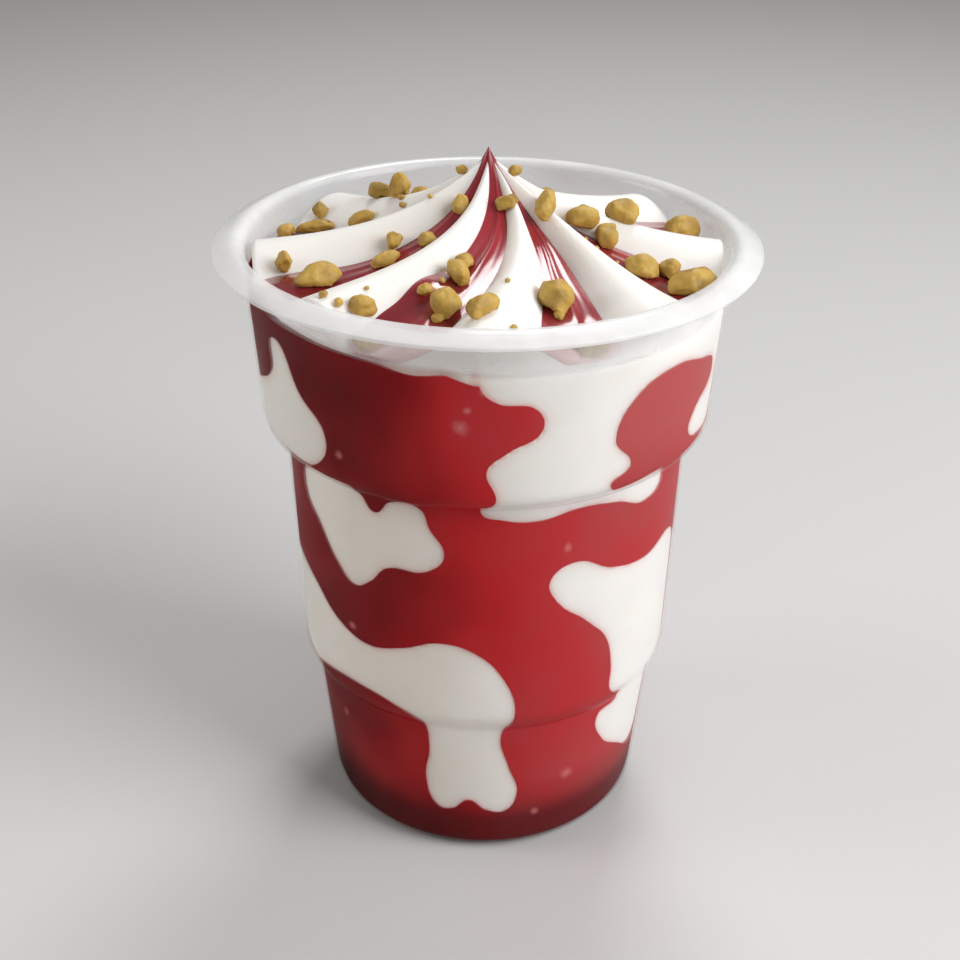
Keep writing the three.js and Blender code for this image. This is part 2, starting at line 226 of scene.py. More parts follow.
bpy.ops.object.modifier_apply(modifier=edge.name)
print("cup, mm:", [round(v / MM, 1) for v in cup.dimensions])

# %% [markdown]
# ## The swirl's heights
# The ice cream leaves the nozzle in eight ridges that twist towards a peak. Two heights describe it at
# any radius and angle: the ridges' crests fall in a hollow curve from the peak, and between two crests
# the surface dips into a groove. By the wall the swirl dips in two places where a nut has sunk in. The
# sauce fills each groove to its own level under the crests, piles up in two places, and climbs over the
# peak as a cap.

# %% Heights of the ice cream
SWIRL_EDGE = 40.5
CREAM_PEAK = 127.0
CREAM_LEVEL = 110.4
CREAM_FALL = 19.0
BACK_DROP = 2.0
# a ridge's angle at the wall, its turn on the way to the peak, and the sauce's depth in the next groove
RIDGES = (
    (0, 48, 3.9), (43, 32, 3.7), (90, 12, 3.4), (135, 24, 3.3),
    (180, 24, 3.3), (227, 16, 4.5), (273.5, 15, 4.5), (318, 40, 3.0),
)
TURN_POWER = 1.7
GROOVE_DEPTH = 6.3
GROOVE_REACH = 6.2
GROOVE_FLOOR = 105.8
SAUCE_CAP = 1.3
SAUCE_CAP_REACH = 2.1
# piles of sauce, and dips of the swirl by the wall: angle, distance from the axis, height, reach
SAUCE_PILES = ((-22.5, 25.5, 1.3, 4.0), (-63, 36.5, 1.6, 8.0))
SWIRL_DIPS = ((-28, 40.5, 3.4, 4.5), (24.5, 40.5, 2.6, 4.5))


def ridge_lines(radius):
    """The ridges' angles at a radius, with the first one again a full turn later."""
    inwards = max(0.0, 1 - radius / SWIRL_EDGE) ** TURN_POWER
    lines = [angle + turn * inwards for angle, turn, sink in RIDGES]
    return lines + [lines[0] + 360]


def groove_at(radius, angle):
    """The number of the groove at a place, and how far across it the place lies, from 0 to 1."""
    lines = ridge_lines(radius)
    turned = (angle - lines[0]) % 360 + lines[0]
    after = next(i for i, line in enumerate(lines) if line > turned)
    return after - 1, (turned - lines[after - 1]) / (lines[after] - lines[after - 1])


def heaped(heaps, radius, angle):
    """Height that a list of heaps adds at a place. A heap falls off as a bell over its reach."""
    total = 0.0
    for heap_angle, distance, height, reach in heaps:
        turn = math.radians(angle - heap_angle)
        away = radius ** 2 + distance ** 2 - 2 * radius * distance * math.cos(turn)
        total += height * math.exp(-away / reach ** 2)
    return total


def crest_height(radius, angle):
    behind = (1 - math.cos(math.radians(angle))) / 2
    rise = (CREAM_PEAK - CREAM_LEVEL) * math.exp(-radius / CREAM_FALL)
    drop = BACK_DROP * behind ** 2 * radius / SWIRL_EDGE
    return CREAM_LEVEL + rise - drop - heaped(SWIRL_DIPS, radius, angle)


def grown(radius):
    """Grooves and sinks start from nothing at the peak."""
    return 1 - math.exp(-radius / GROOVE_REACH)


def groove_height(radius, angle, across):
    depth = GROOVE_DEPTH * grown(radius) * math.sin(math.pi * across) ** 2
    return max(GROOVE_FLOOR, crest_height(radius, angle) - depth)


def cream_height(radius, angle):
    groove, across = groove_at(radius, angle)
    return groove_height(radius, angle, across)


# %% Places on the swirl and heights of sauce


def on_swirl(radius, angle, height):
    """The place in metres at a radius, an angle and a height."""
    way = math.radians(angle)
    return Vector((radius * math.sin(way), -radius * math.cos(way), height)) * MM


def sauce_level(radius, angle, groove):
    cap = SAUCE_CAP * math.exp(-radius / SAUCE_CAP_REACH) + heaped(SAUCE_PILES, radius, angle)
    return crest_height(radius, angle) + cap - RIDGES[groove][2] * grown(radius)


def sauce_height(radius, angle):
    groove, across = groove_at(radius, angle)
    return sauce_level(radius, angle, groove)


def radius_and_angle(place):
    """Millimetres from the axis, and degrees round it from the front."""
    radius = math.hypot(place.x, place.y) / MM
    return radius, math.degrees(math.atan2(place.x, -place.y)) if radius > 0.01 else 0.0


print("peak of the ice cream:", cream_height(0, 0), "mm, of the sauce:", sauce_height(0, 0), "mm")

# %% [markdown]
# ## The ice cream
# One body fills the cup from the pool of sauce at the foot up to the swirl. It reaches a little way into
# the plastic, because an air gap behind clear plastic would mirror the room. The side is spun with a flat
# lid, finely divided, and then the lid's points drop to the swirl's heights. No modifier knows these
# uneven, twisted ridges, so that last step is done point by point. The ridges end just short of the wall.

# %% Model the ice cream
INTO_WALL = 0.35
POOL_TOP = 8.5
SHOULDER = 104.3
CREAM_SIDES = 256
CREAM_RINGS = 64
RING_CROWDING = 1.25
SIDE_SPACING = 1.2
LID = 150.0
# points of an outline nearer to the axis than this lie on the cup's floor
FLOOR_RADIUS = 20
SEARCH_SPACING = 0.05


def fine(outline, spacing):
    """The outline with points added so that no two neighbours are further apart than the spacing."""
    points = [outline[0]]
    for start, end in zip(outline, outline[1:]):
        parts = max(1, math.ceil((end - start).length / spacing))
        points.extend(start.lerp(end, (i + 1) / parts) for i in range(parts))
    return points


def between(outline, low, high):
    """The part of a wall outline between two heights, ending on them."""
    dense = [point for point in fine(outline, SEARCH_SPACING) if point.x >= FLOOR_RADIUS]
    inside = [point for point in outline if low < point.y < high]
    ends = [min(dense, key=lambda point: abs(point.y - level)) for level in (low, high)]
    return [Vector((ends[0].x, low))] + inside + [Vector((ends[1].x, high))]


def lid_radii(edge):
    return [edge * (1 - i / CREAM_RINGS) ** RING_CROWDING for i in range(CREAM_RINGS + 1)]


cream_side = between(inset(wall_outline, WALL - INTO_WALL), POOL_TOP, SHOULDER)
cream_outline = [Vector((0, POOL_TOP))] + fine(cream_side, SIDE_SPACING)
cream_outline += [Vector((SWIRL_EDGE, SHOULDER + 0.6))]
cream_outline += [Vector((radius, LID)) for radius in lid_radii(SWIRL_EDGE)]
ice_cream = spun("swirled_ice_cream", cream_outline, CREAM_SIDES)
for vertex in ice_cream.data.vertices:
    if vertex.co.z > (LID - 1) * MM:
        vertex.co.z = cream_height(*radius_and_angle(vertex.co)) * MM
print("ice cream, mm:", [round(v / MM, 1) for v in ice_cream.dimensions])

# %% [markdown]
# ## The sauce inside the wall
# Before the ice cream goes in, sauce is trailed round the inside of the cup and runs down to a pool at
# the foot. Where the ice cream pushes it aside, white windows show. The layer is spun as a shell with the
# pool under it. Each window is drawn flat as a closed curve with automatic handles, made a slab, wrapped
# round the cup and cut out. The shell lies a hair further into the wall than the ice cream, so that it
# covers it.

# %% Spin the layer of sauce
SIDE_SAUCE_DEPTH = 4.0
SIDE_SAUCE_TOP = 105.2
SAUCE_PROUD = 0.12
SAUCE_SPACING = 3.0
# angle and height along the layer's uneven top edge, which is the same in front and behind
TOP_EDGE = (
    (-90, 107.2), (-60, 106.6), (-50, 105.7), (-41, 105.2), (-30, 104.9),
    (-19, 104.6), (-8, 104.3), (0, 103.1), (90, 105.2),
)
TOP_WAVE = 0.25


def top_edge_height(angle):
    """Height of the layer's edge: between the rows of the list, with a small uneven wave."""
    turned = angle if abs(angle) <= 90 else math.copysign(180, angle) - angle
    after = next(i for i, row in enumerate(TOP_EDGE) if i and row[0] >= turned)
    (start, low), (end, high) = TOP_EDGE[after - 1:after + 1]
    way = math.radians(angle)
    wave = TOP_WAVE * math.sin(17 * way + 3 * math.sin(5 * way))
    return low + (high - low) * (turned - start) / (end - start) + wave


sauce_skin = inset(wall_outline, WALL - INTO_WALL - SAUCE_PROUD)
sauce_outer = [point for point in sauce_skin if point.y < SHOULDER]
top_edge = between(sauce_skin, POOL_TOP, SIDE_SAUCE_TOP)[-1]
plain_corners = [Vector(corner[:2]) for corner in WALL_CORNERS]
sauce_back = between(inset(plain_corners, WALL + SIDE_SAUCE_DEPTH), POOL_TOP, SIDE_SAUCE_TOP)
sauce_outline = [Vector((0, sauce_skin[0].y))] + sauce_outer[1:] + [top_edge] + sauce_back[::-1]
sauce_outline += [Vector((0, POOL_TOP))]
side_sauce = spun("sauce_inside_wall", fine(sauce_outline, SAUCE_SPACING), CREAM_SIDES)
for vertex in side_sauce.data.vertices:
    if vertex.co.z > (SIDE_SAUCE_TOP - 0.1) * MM:
        radius, angle = radius_and_angle(vertex.co)
        vertex.co.z = top_edge_height(angle) * MM
print("layer of sauce, mm:", [round(v / MM, 1) for v in side_sauce.dimensions])

# %% Windows as outlines of angle and height
WINDOWS = (
    # a wedge at the upper left
    (
        (-57.5, 102.8), (-61, 96), (-73, 91.2), (-85, 88), (-80, 81.5), (-60, 80.8), (-43.5, 83.5),
        (-40.5, 89.5), (-48, 95),
    ),
    # the upper right, open at the top, round a leaf of sauce
    (
        (-1.5, 108), (-1.5, 103), (2, 100.3), (11, 98.8), (12.5, 95), (5, 91.3), (0.3, 88), (2.4, 82),
        (-1.2, 78), (5, 76.4), (13, 75.8), (26, 77), (38, 76), (50, 73.6), (57.5, 76), (50, 81.2),
        (31, 82.2), (36, 85.3), (31, 91), (36.5, 98.5), (46, 100.8), (57, 99.7), (70, 94.6), (60, 89.5),
        (58, 86), (66, 83.5), (80, 84.5), (84, 96), (83, 108),
    ),
    # the middle left, with a drip hanging into its top
    (
        (-59.5, 77.5), (-61, 72), (-54, 67.2), (-46, 61), (-40, 58.5), (-34, 60.5), (-28, 64.4),
        (-16, 65.5), (-11, 69), (-15, 74.3), (-17.5, 77.7), (-26, 77.8), (-31, 75), (-36, 77.8),
    ),
    # the lower left band and the leg under it
    (
        (-95, 45), (-92, 34), (-74, 32.3), (-58, 35.5), (-42, 36.6), (-28, 35.2), (-20, 32), (-18, 26),
        (-19.8, 17), (-16, 10.9), (-11, 10.7), (-5, 13.2), (1, 10.8), (8, 10.5), (11.8, 14.5), (8.5, 21.8),
        (5.6, 29), (9.3, 36), (6, 43.5), (-2, 49.2), (-12, 51), (-24, 48.4), (-36, 46.6), (-48, 48.7),
        (-62, 53.8), (-78, 55), (-93, 51),
    ),
    # the right side down to the foot
    (
        (18.2, 63.5), (20, 59.5), (31, 53), (38, 48), (41, 41), (41.5, 35.5), (49.5, 31), (40.7, 28.5),
        (44, 22.3), (54, 17.5), (68, 13.6), (79, 17), (82.5, 35), (80, 56), (70, 62), (52, 61.3),
        (38, 63), (25, 66.4),
    ),
)
far_windows = tuple(tuple((180 - angle, height) for angle, height in outline) for outline in WINDOWS)
print("windows:", len(WINDOWS), "in front and as many behind, mirrored")

# %% Draw and wrap a window
WINDOW_RADIUS = 36
WINDOW_STEPS = 12
CUTTER_FROM = 20
CUTTER_TO = 75


def flat_slab(outline):
    """A closed smooth curve through the outline, filled, with some thickness, as a mesh."""
    start_fresh()
    bpy.ops.curve.primitive_bezier_circle_add()
    slab = bpy.context.object
    curve = slab.data
    curve.dimensions = "2D"
    curve.fill_mode = "BOTH"
    curve.extrude = MM
    curve.resolution_u = WINDOW_STEPS
    points = curve.splines[0].bezier_points
    points.add(len(outline) - len(points))
    for point, (angle, height) in zip(points, outline):
        point.co = (math.radians(angle) * WINDOW_RADIUS * MM, height * MM, 0)
        point.handle_left_type = "AUTO"
        point.handle_right_type = "AUTO"
    bpy.ops.object.convert(target="MESH")
    return bpy.context.object


def wrap_round_cup(slab):
    """Bends a flat slab round the axis: its two faces go to the inner and the outer radius of the cut."""
    rim = set()
    for vertex in slab.data.vertices:
        rim.add((round(vertex.co.x / MM, 3), round(vertex.co.y / MM, 3)))
        radius = CUTTER_TO if vertex.co.z > 0 else CUTTER_FROM
        angle = math.degrees(vertex.co.x / (WINDOW_RADIUS * MM))
        vertex.co = on_swirl(radius, angle, vertex.co.y / MM)
    merge_and_face_outwards(slab)
    return rim


# %% Cut the windows


def cut_out(piece, cutter):
    cut = piece.modifiers.new("window", "BOOLEAN")
    cut.operation = "DIFFERENCE"
    cut.solver = "MANIFOLD"
    cut.object = cutter
    bpy.context.view_layer.objects.active = piece
    bpy.ops.object.modifier_apply(modifier=cut.name)
    bpy.data.objects.remove(cutter)


def own_half(rim, middle):
    """The points of a rim on its own half of the cup. Past that half lies the window's mirror image."""
    reach = math.pi / 2 * WINDOW_RADIUS
    return {point for point in rim if abs(point[0] - middle * WINDOW_RADIUS) <= reach}


shores = set()
for middle, windows in ((0, WINDOWS), (math.pi, far_windows)):
    for outline in windows:
        slab = flat_slab(outline)
        shores |= own_half(wrap_round_cup(slab), middle)
        cut_out(side_sauce, slab)
print("points along the shores of the windows:", len(shores))

# %% [markdown]
# ## Pink shores
# Where sauce and ice cream meet at the wall, a little sauce smears under the plastic and tints the ice
# cream. Each point of the ice cream keeps its distance to the nearest shore as an attribute, which its
# finish reads. A second attribute holds the untwisted direction of the swirl, so that fine streaks can
# follow the ridges.

# %% Store shore distance and swirl direction
SHORE_REACH = 2.0
SWIRL_STRETCH = 0.01
OPEN_TOP = (-1.5, 84)


def open_at_top(angle):
    """True where a window, or its mirror image behind, leaves no sauce at the top of the wall."""
    places = (angle, 180 - angle, -180 - angle)
    return any(OPEN_TOP[0] < place < OPEN_TOP[1] for place in places)


for angle in range(-180, 180):
    if not open_at_top(angle):
        shores.add((math.radians(angle) * WINDOW_RADIUS, top_edge_height(angle)))
shore_tree = KDTree(len(shores))
for i, (around, height) in enumerate(sorted(shores)):
    shore_tree.insert((around, height, 0), i)
shore_tree.balance()


def shore_distance(place):
    """Millimetres to the nearest shore, measured flat along the wall."""
    angle = math.atan2(place.x, -place.y)
    height = place.z / MM
    turns = (angle, angle + 2 * math.pi, angle - 2 * math.pi)
    return min(shore_tree.find((turn * WINDOW_RADIUS, height, 0))[2] for turn in turns)


def store_swirl(piece):
    shore = piece.data.attributes.new("shore", "FLOAT", "POINT")
    swirl = piece.data.attributes.new("swirl", "FLOAT_VECTOR", "POINT")
    for vertex in piece.data.vertices:
        radius, angle = radius_and_angle(vertex.co)
        on_side = vertex.co.z < SHOULDER * MM or radius > SWIRL_EDGE - 0.1
        far = min(shore_distance(vertex.co) / SHORE_REACH, 1) if on_side else 1
        shore.data[vertex.index].value = far
        way = sum(groove_at(radius, angle)) / len(RIDGES) * 2 * math.pi
        swirl.data[vertex.index].vector = (math.sin(way), math.cos(way), radius * SWIRL_STRETCH)


store_swirl(ice_cream)
print("points with swirl and shore:", len(ice_cream.data.vertices))

# %% [markdown]
# ## The ribbons of sauce on top
# Each groove holds a ribbon of sauce that narrows towards the peak, where all eight run together into the
# cap. A ribbon starts as a grid. Its points are laid along the groove between the two shores, where sauce
# and ice cream are level. Each shore is found by halving the way from the wet middle to the dry crest.
# Poured sauce is never flat, so strands run along it and catch the light, most of all in the two ribbons
# in front. An attribute keeps how far across and along its ribbon each point lies, so that the finish can
# follow the flow. Then the ribbons are joined, merged where they touch, and extruded. The new points drop
# to just under the groove's floor, so that the end of a ribbon fills its groove.

# %% Find the shores of a ribbon
SHORE_STEPS = 14
SHORE_OVERLAP = 0.015


def groove_angle(radius, groove, share):
    """The angle at a share of the way across a groove."""
    lines = ridge_lines(radius)
    return lines[groove] + (lines[groove + 1] - lines[groove]) * share


def is_wet(radius, groove, share):
    angle = groove_angle(radius, groove, share)
    return sauce_level(radius, angle, groove) > groove_height(radius, angle, share)


@functools.cache
def ribbon_shores(radius, groove):
    """Where across a groove, from 0 to 1, the sauce begins and ends, a little under the ice cream."""
    ends = []
    for crest in (0.0, 1.0):
        wet, dry = 0.5, crest
        for _ in range(SHORE_STEPS):
            middle = (wet + dry) / 2
            if is_wet(radius, groove, middle):
                wet = middle
            else:
                dry = middle
        ends.append(wet + math.copysign(SHORE_OVERLAP, crest - 0.5))
    return max(0.0, ends[0]), min(1.0, ends[1])


print("shores of the front ribbon at 20 mm:", ribbon_shores(20.0, 0))

# %% Model the ribbons
RIBBON_ALONG = 96
RIBBON_ACROSS = 32
# where a strand lies across its ribbon, and its height
STRANDS = {0: ((0.3, 0.18), (0.56, 0.3), (0.86, 0.3)), 7: ((0.62, 0.42), (0.85, 0.2))}
PLAIN_STRANDS = ((0.35, 0.12), (0.7, 0.15))
STRAND_WIDTH = 0.11
# how far a strand strays across, in how many waves, and the shift of these from ribbon to ribbon
WAVERS = ((0.05, 8, 2), (0.03, 19, 1))
FLOW_ACROSS = 2.6
FLOW_DOWN = 3.0
UNDER_FLOOR = 0.3


def strands(across, down, groove):
    """Height of the strands in a ribbon. They waver on their way down."""
    waver = sum(size * math.sin(waves * down + shift * groove) for size, waves, shift in WAVERS)
    total = 0.0
    for place, height in STRANDS.get(groove, PLAIN_STRANDS):
        total += height * math.exp(-((across - place - waver) / STRAND_WIDTH) ** 2)
    return total * math.sin(math.pi * across)


def ribbon(groove):
    start_fresh()
    bpy.ops.mesh.primitive_grid_add(x_subdivisions=RIBBON_ALONG, y_subdivisions=RIBBON_ACROSS, size=1)
    strip = bpy.context.object
    flow = strip.data.attributes.new("flow", "FLOAT_VECTOR", "POINT")
    for vertex in strip.data.vertices:
        down = round(vertex.co.x + 0.5, 4)
        across = vertex.co.y + 0.5
        flow.data[vertex.index].vector = (across * FLOW_ACROSS, down * FLOW_DOWN, groove)
        radius = down ** RING_CROWDING * SWIRL_EDGE
        start, end = ribbon_shores(radius, groove)
        angle = groove_angle(radius, groove, start + across * (end - start))
        level = sauce_level(radius, angle, groove)
        vertex.co = on_swirl(radius, angle, level + strands(across, down, groove) * grown(radius))
    return strip


top_sauce = joined([ribbon(groove) for groove in range(len(RIDGES))], "sauce_ribbons")
merge_and_face_outwards(top_sauce)
print("points in the ribbons:", len(top_sauce.data.vertices))

# %% Give the ribbons their depth
bpy.ops.object.mode_set(mode="EDIT")
bpy.ops.mesh.select_all(action="SELECT")
bpy.ops.mesh.extrude_region_move(TRANSFORM_OT_translate={"value": (0, 0, -UNDER_FLOOR * MM)})
bpy.ops.object.mode_set(mode="OBJECT")
for vertex in top_sauce.data.vertices:
    if vertex.select:
        floor_height = cream_height(*radius_and_angle(vertex.co)) * MM
        vertex.co.z = min(vertex.co.z, floor_height - UNDER_FLOOR * MM)
merge_and_face_outwards(top_sauce)
print("ribbons, mm:", [round(v / MM, 1) for v in top_sauce.dimensions])

# %% [markdown]
# ## Chopped nuts
# The solids already hold each chunk at its place with its flat breaks. Copies of them are joined and
# merged. A bevel by a share of each edge and a subdivision round the breaks off, and a plain Displace
# swells the chunks again by what the rounding took away. Two more Displace modifiers make the coarse
# lumps and the fine crumbly grain.

# %% Model the nuts
NUT_SOFTNESS = 10
NUT_LEVELS = 2
NUT_SWELL = 0.2
# size and depth of the lumps
NUT_LUMPS = ((2.0, 0.55), (0.6, 0.2))

nut_names = sorted(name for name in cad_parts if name.startswith("nut_"))


def copy_of(node):
    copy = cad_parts[node].copy()
    copy.data = copy.data.copy()
    copy.parent = None
    bpy.context.collection.objects.link(copy)
    return copy


def swollen(piece, depth, size=0.0):
    """Moves the surface outwards by a depth in millimetres, or in and out of it in lumps of a size."""
    swell = piece.modifiers.new("swell", "DISPLACE")
    swell.strength = depth * MM
    swell.mid_level = 0.0
    if size:
        lumps = bpy.data.textures.new("nut lumps", "CLOUDS")
        lumps.noise_scale = size * MM
        lumps.noise_depth = 1
        swell.texture = lumps
        swell.texture_coords = "LOCAL"
        swell.mid_level = 0.5
    bpy.ops.object.modifier_apply(modifier=swell.name)


def broken_surface(piece, swell, lumps):
    """Rounds the edges of chunks off, swells them and makes them lumpy."""
    merge_and_face_outwards(piece)
    bpy.ops.object.mode_set(mode="EDIT")
    bpy.ops.mesh.select_all(action="SELECT")
    bpy.ops.mesh.bevel(offset_type="PERCENT", offset_pct=NUT_SOFTNESS, segments=1, affect="EDGES")
    bpy.ops.object.mode_set(mode="OBJECT")
    smooth = piece.modifiers.new("smooth", "SUBSURF")
    smooth.levels = NUT_LEVELS
    smooth.render_levels = NUT_LEVELS
    bpy.ops.object.modifier_apply(modifier=smooth.name)
    swollen(piece, swell)
    for size, depth in lumps:
        swollen(piece, depth, size)


start_fresh()
nuts = joined([copy_of(name) for name in nut_names], "chopped_nuts")
broken_surface(nuts, NUT_SWELL, NUT_LUMPS)
print("nuts:", len(nut_names))

# %% [markdown]
# ## Crumbs
# Chopping leaves crumbs of a millimetre or two between the chunks. Each crumb is an ico sphere with its
# points moved at random, then squeezed, turned and set on the surface below it. About half of them lie
# where the photo shows them, the rest by a seeded draw.

# %% Model the crumbs
CRUMB_SEED = 11
CRUMB_ROUGHNESS = (0.75, 1.15)
# shares of a crumb's length
CRUMB_WIDTH = 0.75
CRUMB_HEIGHT = 0.7
CRUMB_LIFT = 0.2
CRUMB_SWELL = 0.05
CRUMB_LUMPS = ((0.7, 0.25),)
# angle, distance from the axis and length
SHOWN_CRUMBS = (
    (-123, 18.3, 1.8), (-130, 19, 1.7), (-118, 17, 1.8), (-115, 21, 1.6), (-112, 28, 1.6),
    (-118, 5, 2.7), (-41.8, 38.5, 2.1), (-37.5, 38, 2.4), (-13, 33.5, 3.0), (101, 4.6, 2.9),
    (21, 31.8, 2.3), (-20.6, 27.8, 3.3), (6, 39, 1.7), (11, 39, 1.5),
)
LOOSE_CRUMBS = 16
LOOSE_DISTANCE = (8, 37)
LOOSE_LENGTH = (0.8, 1.5)
chance = random.Random(CRUMB_SEED)


def surface_height(radius, angle):
    return max(cream_height(radius, angle), sauce_height(radius, angle))


def crumb(angle, radius, length):
    start_fresh()
    bpy.ops.mesh.primitive_ico_sphere_add(subdivisions=1, radius=length / 2 * MM)
    grain = bpy.context.object
    turn = chance.uniform(0, 2 * math.pi)
    place = on_swirl(radius, angle, surface_height(radius, angle) + CRUMB_LIFT * length)
    for vertex in grain.data.vertices:
        point = vertex.co * chance.uniform(*CRUMB_ROUGHNESS)
        point.y *= CRUMB_WIDTH
        point.z *= CRUMB_HEIGHT
        turned = Vector((
            point.x * math.cos(turn) - point.y * math.sin(turn),
            point.x * math.sin(turn) + point.y * math.cos(turn),
            point.z,
        ))
        vertex.co = place + turned
    return grain


loose = tuple(
    (chance.uniform(-180, 180), chance.uniform(*LOOSE_DISTANCE), chance.uniform(*LOOSE_LENGTH))
    for _ in range(LOOSE_CRUMBS)
)
crumbs = joined([crumb(*spot) for spot in SHOWN_CRUMBS + loose], "nut_crumbs")
crumbs.location = (0, 0, 0)
broken_surface(crumbs, CRUMB_SWELL, CRUMB_LUMPS)
print("crumbs:", len(SHOWN_CRUMBS + loose))

# %% [markdown]
# ## Finishes: shared steps
# Every finish is a Principled shader fed by a few noise patterns in the piece's own coordinates. The
# helpers below add a node or two each: a noise, a colour ramp, a change of range, a change along an axis,
# a calculation, a mix, and a bump for the relief. A socket takes either the output of another node or a
# plain value.

# %% Helpers for finishes


def new_finish(name):
    finish = bpy.data.materials.new(name)
    finish.use_nodes = True
    tree = finish.node_tree
    shader = next(node for node in tree.nodes if node.type == "BSDF_PRINCIPLED")
    return finish, tree, shader


def object_places(tree):
    return tree.nodes.new("ShaderNodeTexCoord").outputs["Object"]


def along(tree, places, axis):
    parts = tree.nodes.new("ShaderNodeSeparateXYZ")
    tree.links.new(places, parts.inputs["Vector"])
    return parts.outputs[axis]


def feed(tree, socket, value):
    if isinstance(value, bpy.types.NodeSocket):
        tree.links.new(value, socket)
    else:
        socket.default_value = (*value, 1) if isinstance(value, tuple) else value


def noise(tree, places, per_metre, detail=3.0):
    pattern = tree.nodes.new("ShaderNodeTexNoise")
    pattern.inputs["Scale"].default_value = per_metre
    pattern.inputs["Detail"].default_value = detail
    tree.links.new(places, pattern.inputs["Vector"])
    return pattern.outputs["Fac"]


def colours(tree, share, stops):
    ramp = tree.nodes.new("ShaderNodeValToRGB")
    elements = ramp.color_ramp.elements
    while len(elements) < len(stops):
        elements.new(0.5)
    for element, (position, colour) in zip(elements, stops):
        element.position = position
        element.color = (*colour, 1)
    tree.links.new(share, ramp.inputs["Fac"])
    return ramp.outputs["Color"]


def spread(tree, value, low, high, start=0.0, end=1.0):
    """Low up to the start of a value's range, high from its end on."""
    reach = tree.nodes.new("ShaderNodeMapRange")
    for name, number in (("From Min", start), ("From Max", end), ("To Min", low), ("To Max", high)):
        reach.inputs[name].default_value = number
    tree.links.new(value, reach.inputs["Value"])
    return reach.outputs["Result"]


def change(tree, places, axis, low, high, reach):
    """Low before a reach in millimetres along an axis, high after it."""
    start, end = (place * MM for place in reach)
    return spread(tree, along(tree, places, axis), low, high, start, end)


def calculated(tree, operation, first, second):
    step = tree.nodes.new("ShaderNodeMath")
    step.operation = operation
    feed(tree, step.inputs[0], first)
    feed(tree, step.inputs[1], second)
    return step.outputs["Value"]


def mixed(tree, blend, share, first, second):
    mix = tree.nodes.new("ShaderNodeMix")
    mix.data_type = "RGBA"
    mix.blend_type = blend
    for name, value in (("Factor", share), ("A", first), ("B", second)):
        feed(tree, mix.inputs[name], value)
    return mix.outputs["Result"]


def relief(tree, shader, height, depth):
    bump = tree.nodes.new("ShaderNodeBump")
    bump.inputs["Distance"].default_value = depth * MM
    bump.inputs["Strength"].default_value = 1.0
    tree.links.new(height, bump.inputs["Height"])
    tree.links.new(bump.outputs["Normal"], shader.inputs["Normal"])


# %% [markdown]
# ## Clear plastic
# The cup is thin and clear, and what touches its wall shows sharply. Above the contents the bare collar
# and the lip look milky in patches, and what lies behind them shows faintly. A wall this thin hardly bends
# light, so much of the light passes straight through, by an alpha below one. The rest is glass on the
# wall, for its gloss, and milky white on the collar and the lip, where it passes two faces of the wall.
# The collar starts above the sauce, so higher on the left, and the lip is the milkiest. At the back, where
# less light falls, the collar is painted greyer as shade, and it is clearer, up to its rim.

# %% Finish the cup
COLLAR_FROM = 104.7
COLLAR_TO = 105.3
COLLAR_LIFT = 3.2
LIFTED_ACROSS = (-41, 5)
LIP_FROM = 109.0
CLEARNESS = (1.0, 0.0)
COVER = (0.28, 0.26)
LIP_COVER = 0.4
PATCHES = (0.8, 1.2)
BLUR = (0.10, 0.16)
FRONT_COLOUR = (0.92, 0.925, 0.93)
# greyer colour painted on the back of the collar as shade, where less light falls
PAINTED_BACK_SHADE = (0.58, 0.59, 0.61)
BACK_COVER = 0.6
BACK_ACROSS = (0, 30)
RIM = (112.0, 113.5)


def collar_share(tree, places):
    """0 on the clear wall, 1 on the milky collar and the lip."""
    lift = change(tree, places, "X", COLLAR_LIFT * MM, 0.0, LIFTED_ACROSS)
    height = calculated(tree, "SUBTRACT", along(tree, places, "Z"), lift)
    return spread(tree, height, 0.0, 1.0, COLLAR_FROM * MM, COLLAR_TO * MM)


def back_shade_share(tree, places):
    """1 on the back of the cup, where shade is painted, 0 on its front and along the rim."""
    behind = change(tree, places, "Y", 0.0, 1.0, BACK_ACROSS)
    under_rim = change(tree, places, "Z", 1.0, 0.0, RIM)
    return calculated(tree, "MULTIPLY", behind, under_rim)


def clear_plastic():
    finish, tree, shader = new_finish("clear_plastic")
    places = object_places(tree)
    shader.inputs["IOR"].default_value = 1.45
    collar = collar_share(tree, places)
    # painted shade: the collar's colour turns greyer on the back, where less light falls
    back_shade = calculated(tree, "MULTIPLY", collar, back_shade_share(tree, places))
    tree.links.new(mixed(tree, "MIX", back_shade, FRONT_COLOUR, PAINTED_BACK_SHADE), shader.inputs["Base Color"])
    lip = change(tree, places, "Z", 0.0, LIP_COVER, (LIP_FROM, LIP_TOP))
    milk = calculated(tree, "ADD", spread(tree, collar, *COVER), lip)
    cover = calculated(tree, "MULTIPLY", milk, spread(tree, back_shade, 1.0, BACK_COVER))
    patches = spread(tree, noise(tree, places, 90, 2.0), *PATCHES, 0.3, 0.7)
    tree.links.new(calculated(tree, "MULTIPLY", cover, patches), shader.inputs["Alpha"])
    tree.links.new(spread(tree, collar, *CLEARNESS), shader.inputs["Transmission Weight"])
    tree.links.new(spread(tree, collar, *BLUR), shader.inputs["Roughness"])
    relief(tree, shader, noise(tree, places, 60, 1.0), 0.05)
    return finish


finish_piece(cup, clear_plastic(), ["cup"])

# %% [markdown]
# ## Ice cream
# Soft ice cream is creamy white and lets light in a little way, so it takes subsurface scattering. Fine
# streaks run along the ridges where the nozzle dragged. The shores by the sauce are tinted pink, and
# behind the wall the left half is painted a little yellower, as the warm shade that falls there.

# %% Finish the ice cream
# across which the left of the ice cream behind the wall is painted yellower, as warm shade
WARM_SHADE_ACROSS = (-36, 10)


def attribute(tree, name, output):
    reader = tree.nodes.new("ShaderNodeAttribute")
    reader.attribute_name = name
    return reader.outputs[output]


